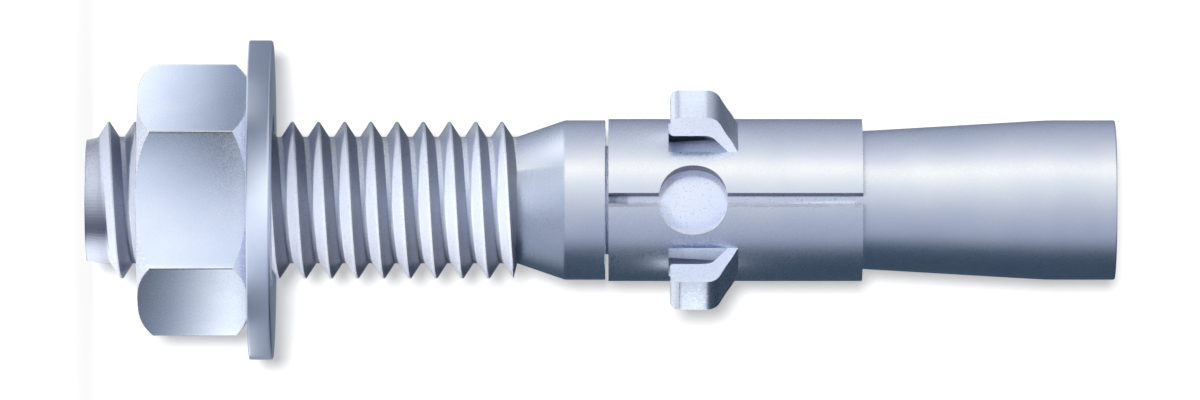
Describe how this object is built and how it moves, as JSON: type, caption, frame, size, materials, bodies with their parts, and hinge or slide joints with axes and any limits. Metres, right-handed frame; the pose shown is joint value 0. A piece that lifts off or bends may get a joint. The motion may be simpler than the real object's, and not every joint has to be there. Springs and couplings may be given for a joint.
{
  "type": "wedge anchor",
  "caption": "Zinc-plated wedge anchor: threaded stud with a cone end, hexagon nut, flat washer and a rolled expansion clip with two ears.",
  "frame": {"origin": "centre of the flat face at the stud's threaded end, which stands on the surface", "axes": "+Z along the stud from the threaded end to the cone end, -Y towards the split of the expansion clip"},
  "size_m": [0.0194, 0.0194, 0.0623],
  "materials": {
    "stud_zinc": "smooth bright zinc plate on cold-formed steel",
    "nut_zinc": "smooth bright zinc plate",
    "washer_zinc": "zinc plate, slightly duller than the nut",
    "clip_zinc": "smooth bright zinc plate on rolled strip"
  },
  "bodies": {
    "anchor_stud": {"stud": "stud_zinc"},
    "washer": {"flat_washer": "washer_zinc"},
    "nut": {"hex_nut": "nut_zinc"},
    "clip": {"expansion_clip": "clip_zinc"}
  },
  "joints": [
    {"name": "nut_travel", "type": "slide", "parent": "anchor_stud", "child": "washer", "axis": [0, 0, 1], "range_m": [-0.00317, 0.01588]},
    {"name": "nut_turn", "type": "hinge", "parent": "washer", "child": "nut", "pos_m": [0, 0, 0.0065], "axis": [0, 0, 1], "range_deg": [-720.5, 3600.5]},
    {"name": "clip_turn", "type": "hinge", "parent": "anchor_stud", "child": "clip", "pos_m": [0, 0, 0.0393], "axis": [0, 0, 1], "continuous": true}
  ],
  "couplings": [
    {"joint": "nut_turn", "follows": "nut_travel", "rad_per_m": 3957.9}
  ]
}
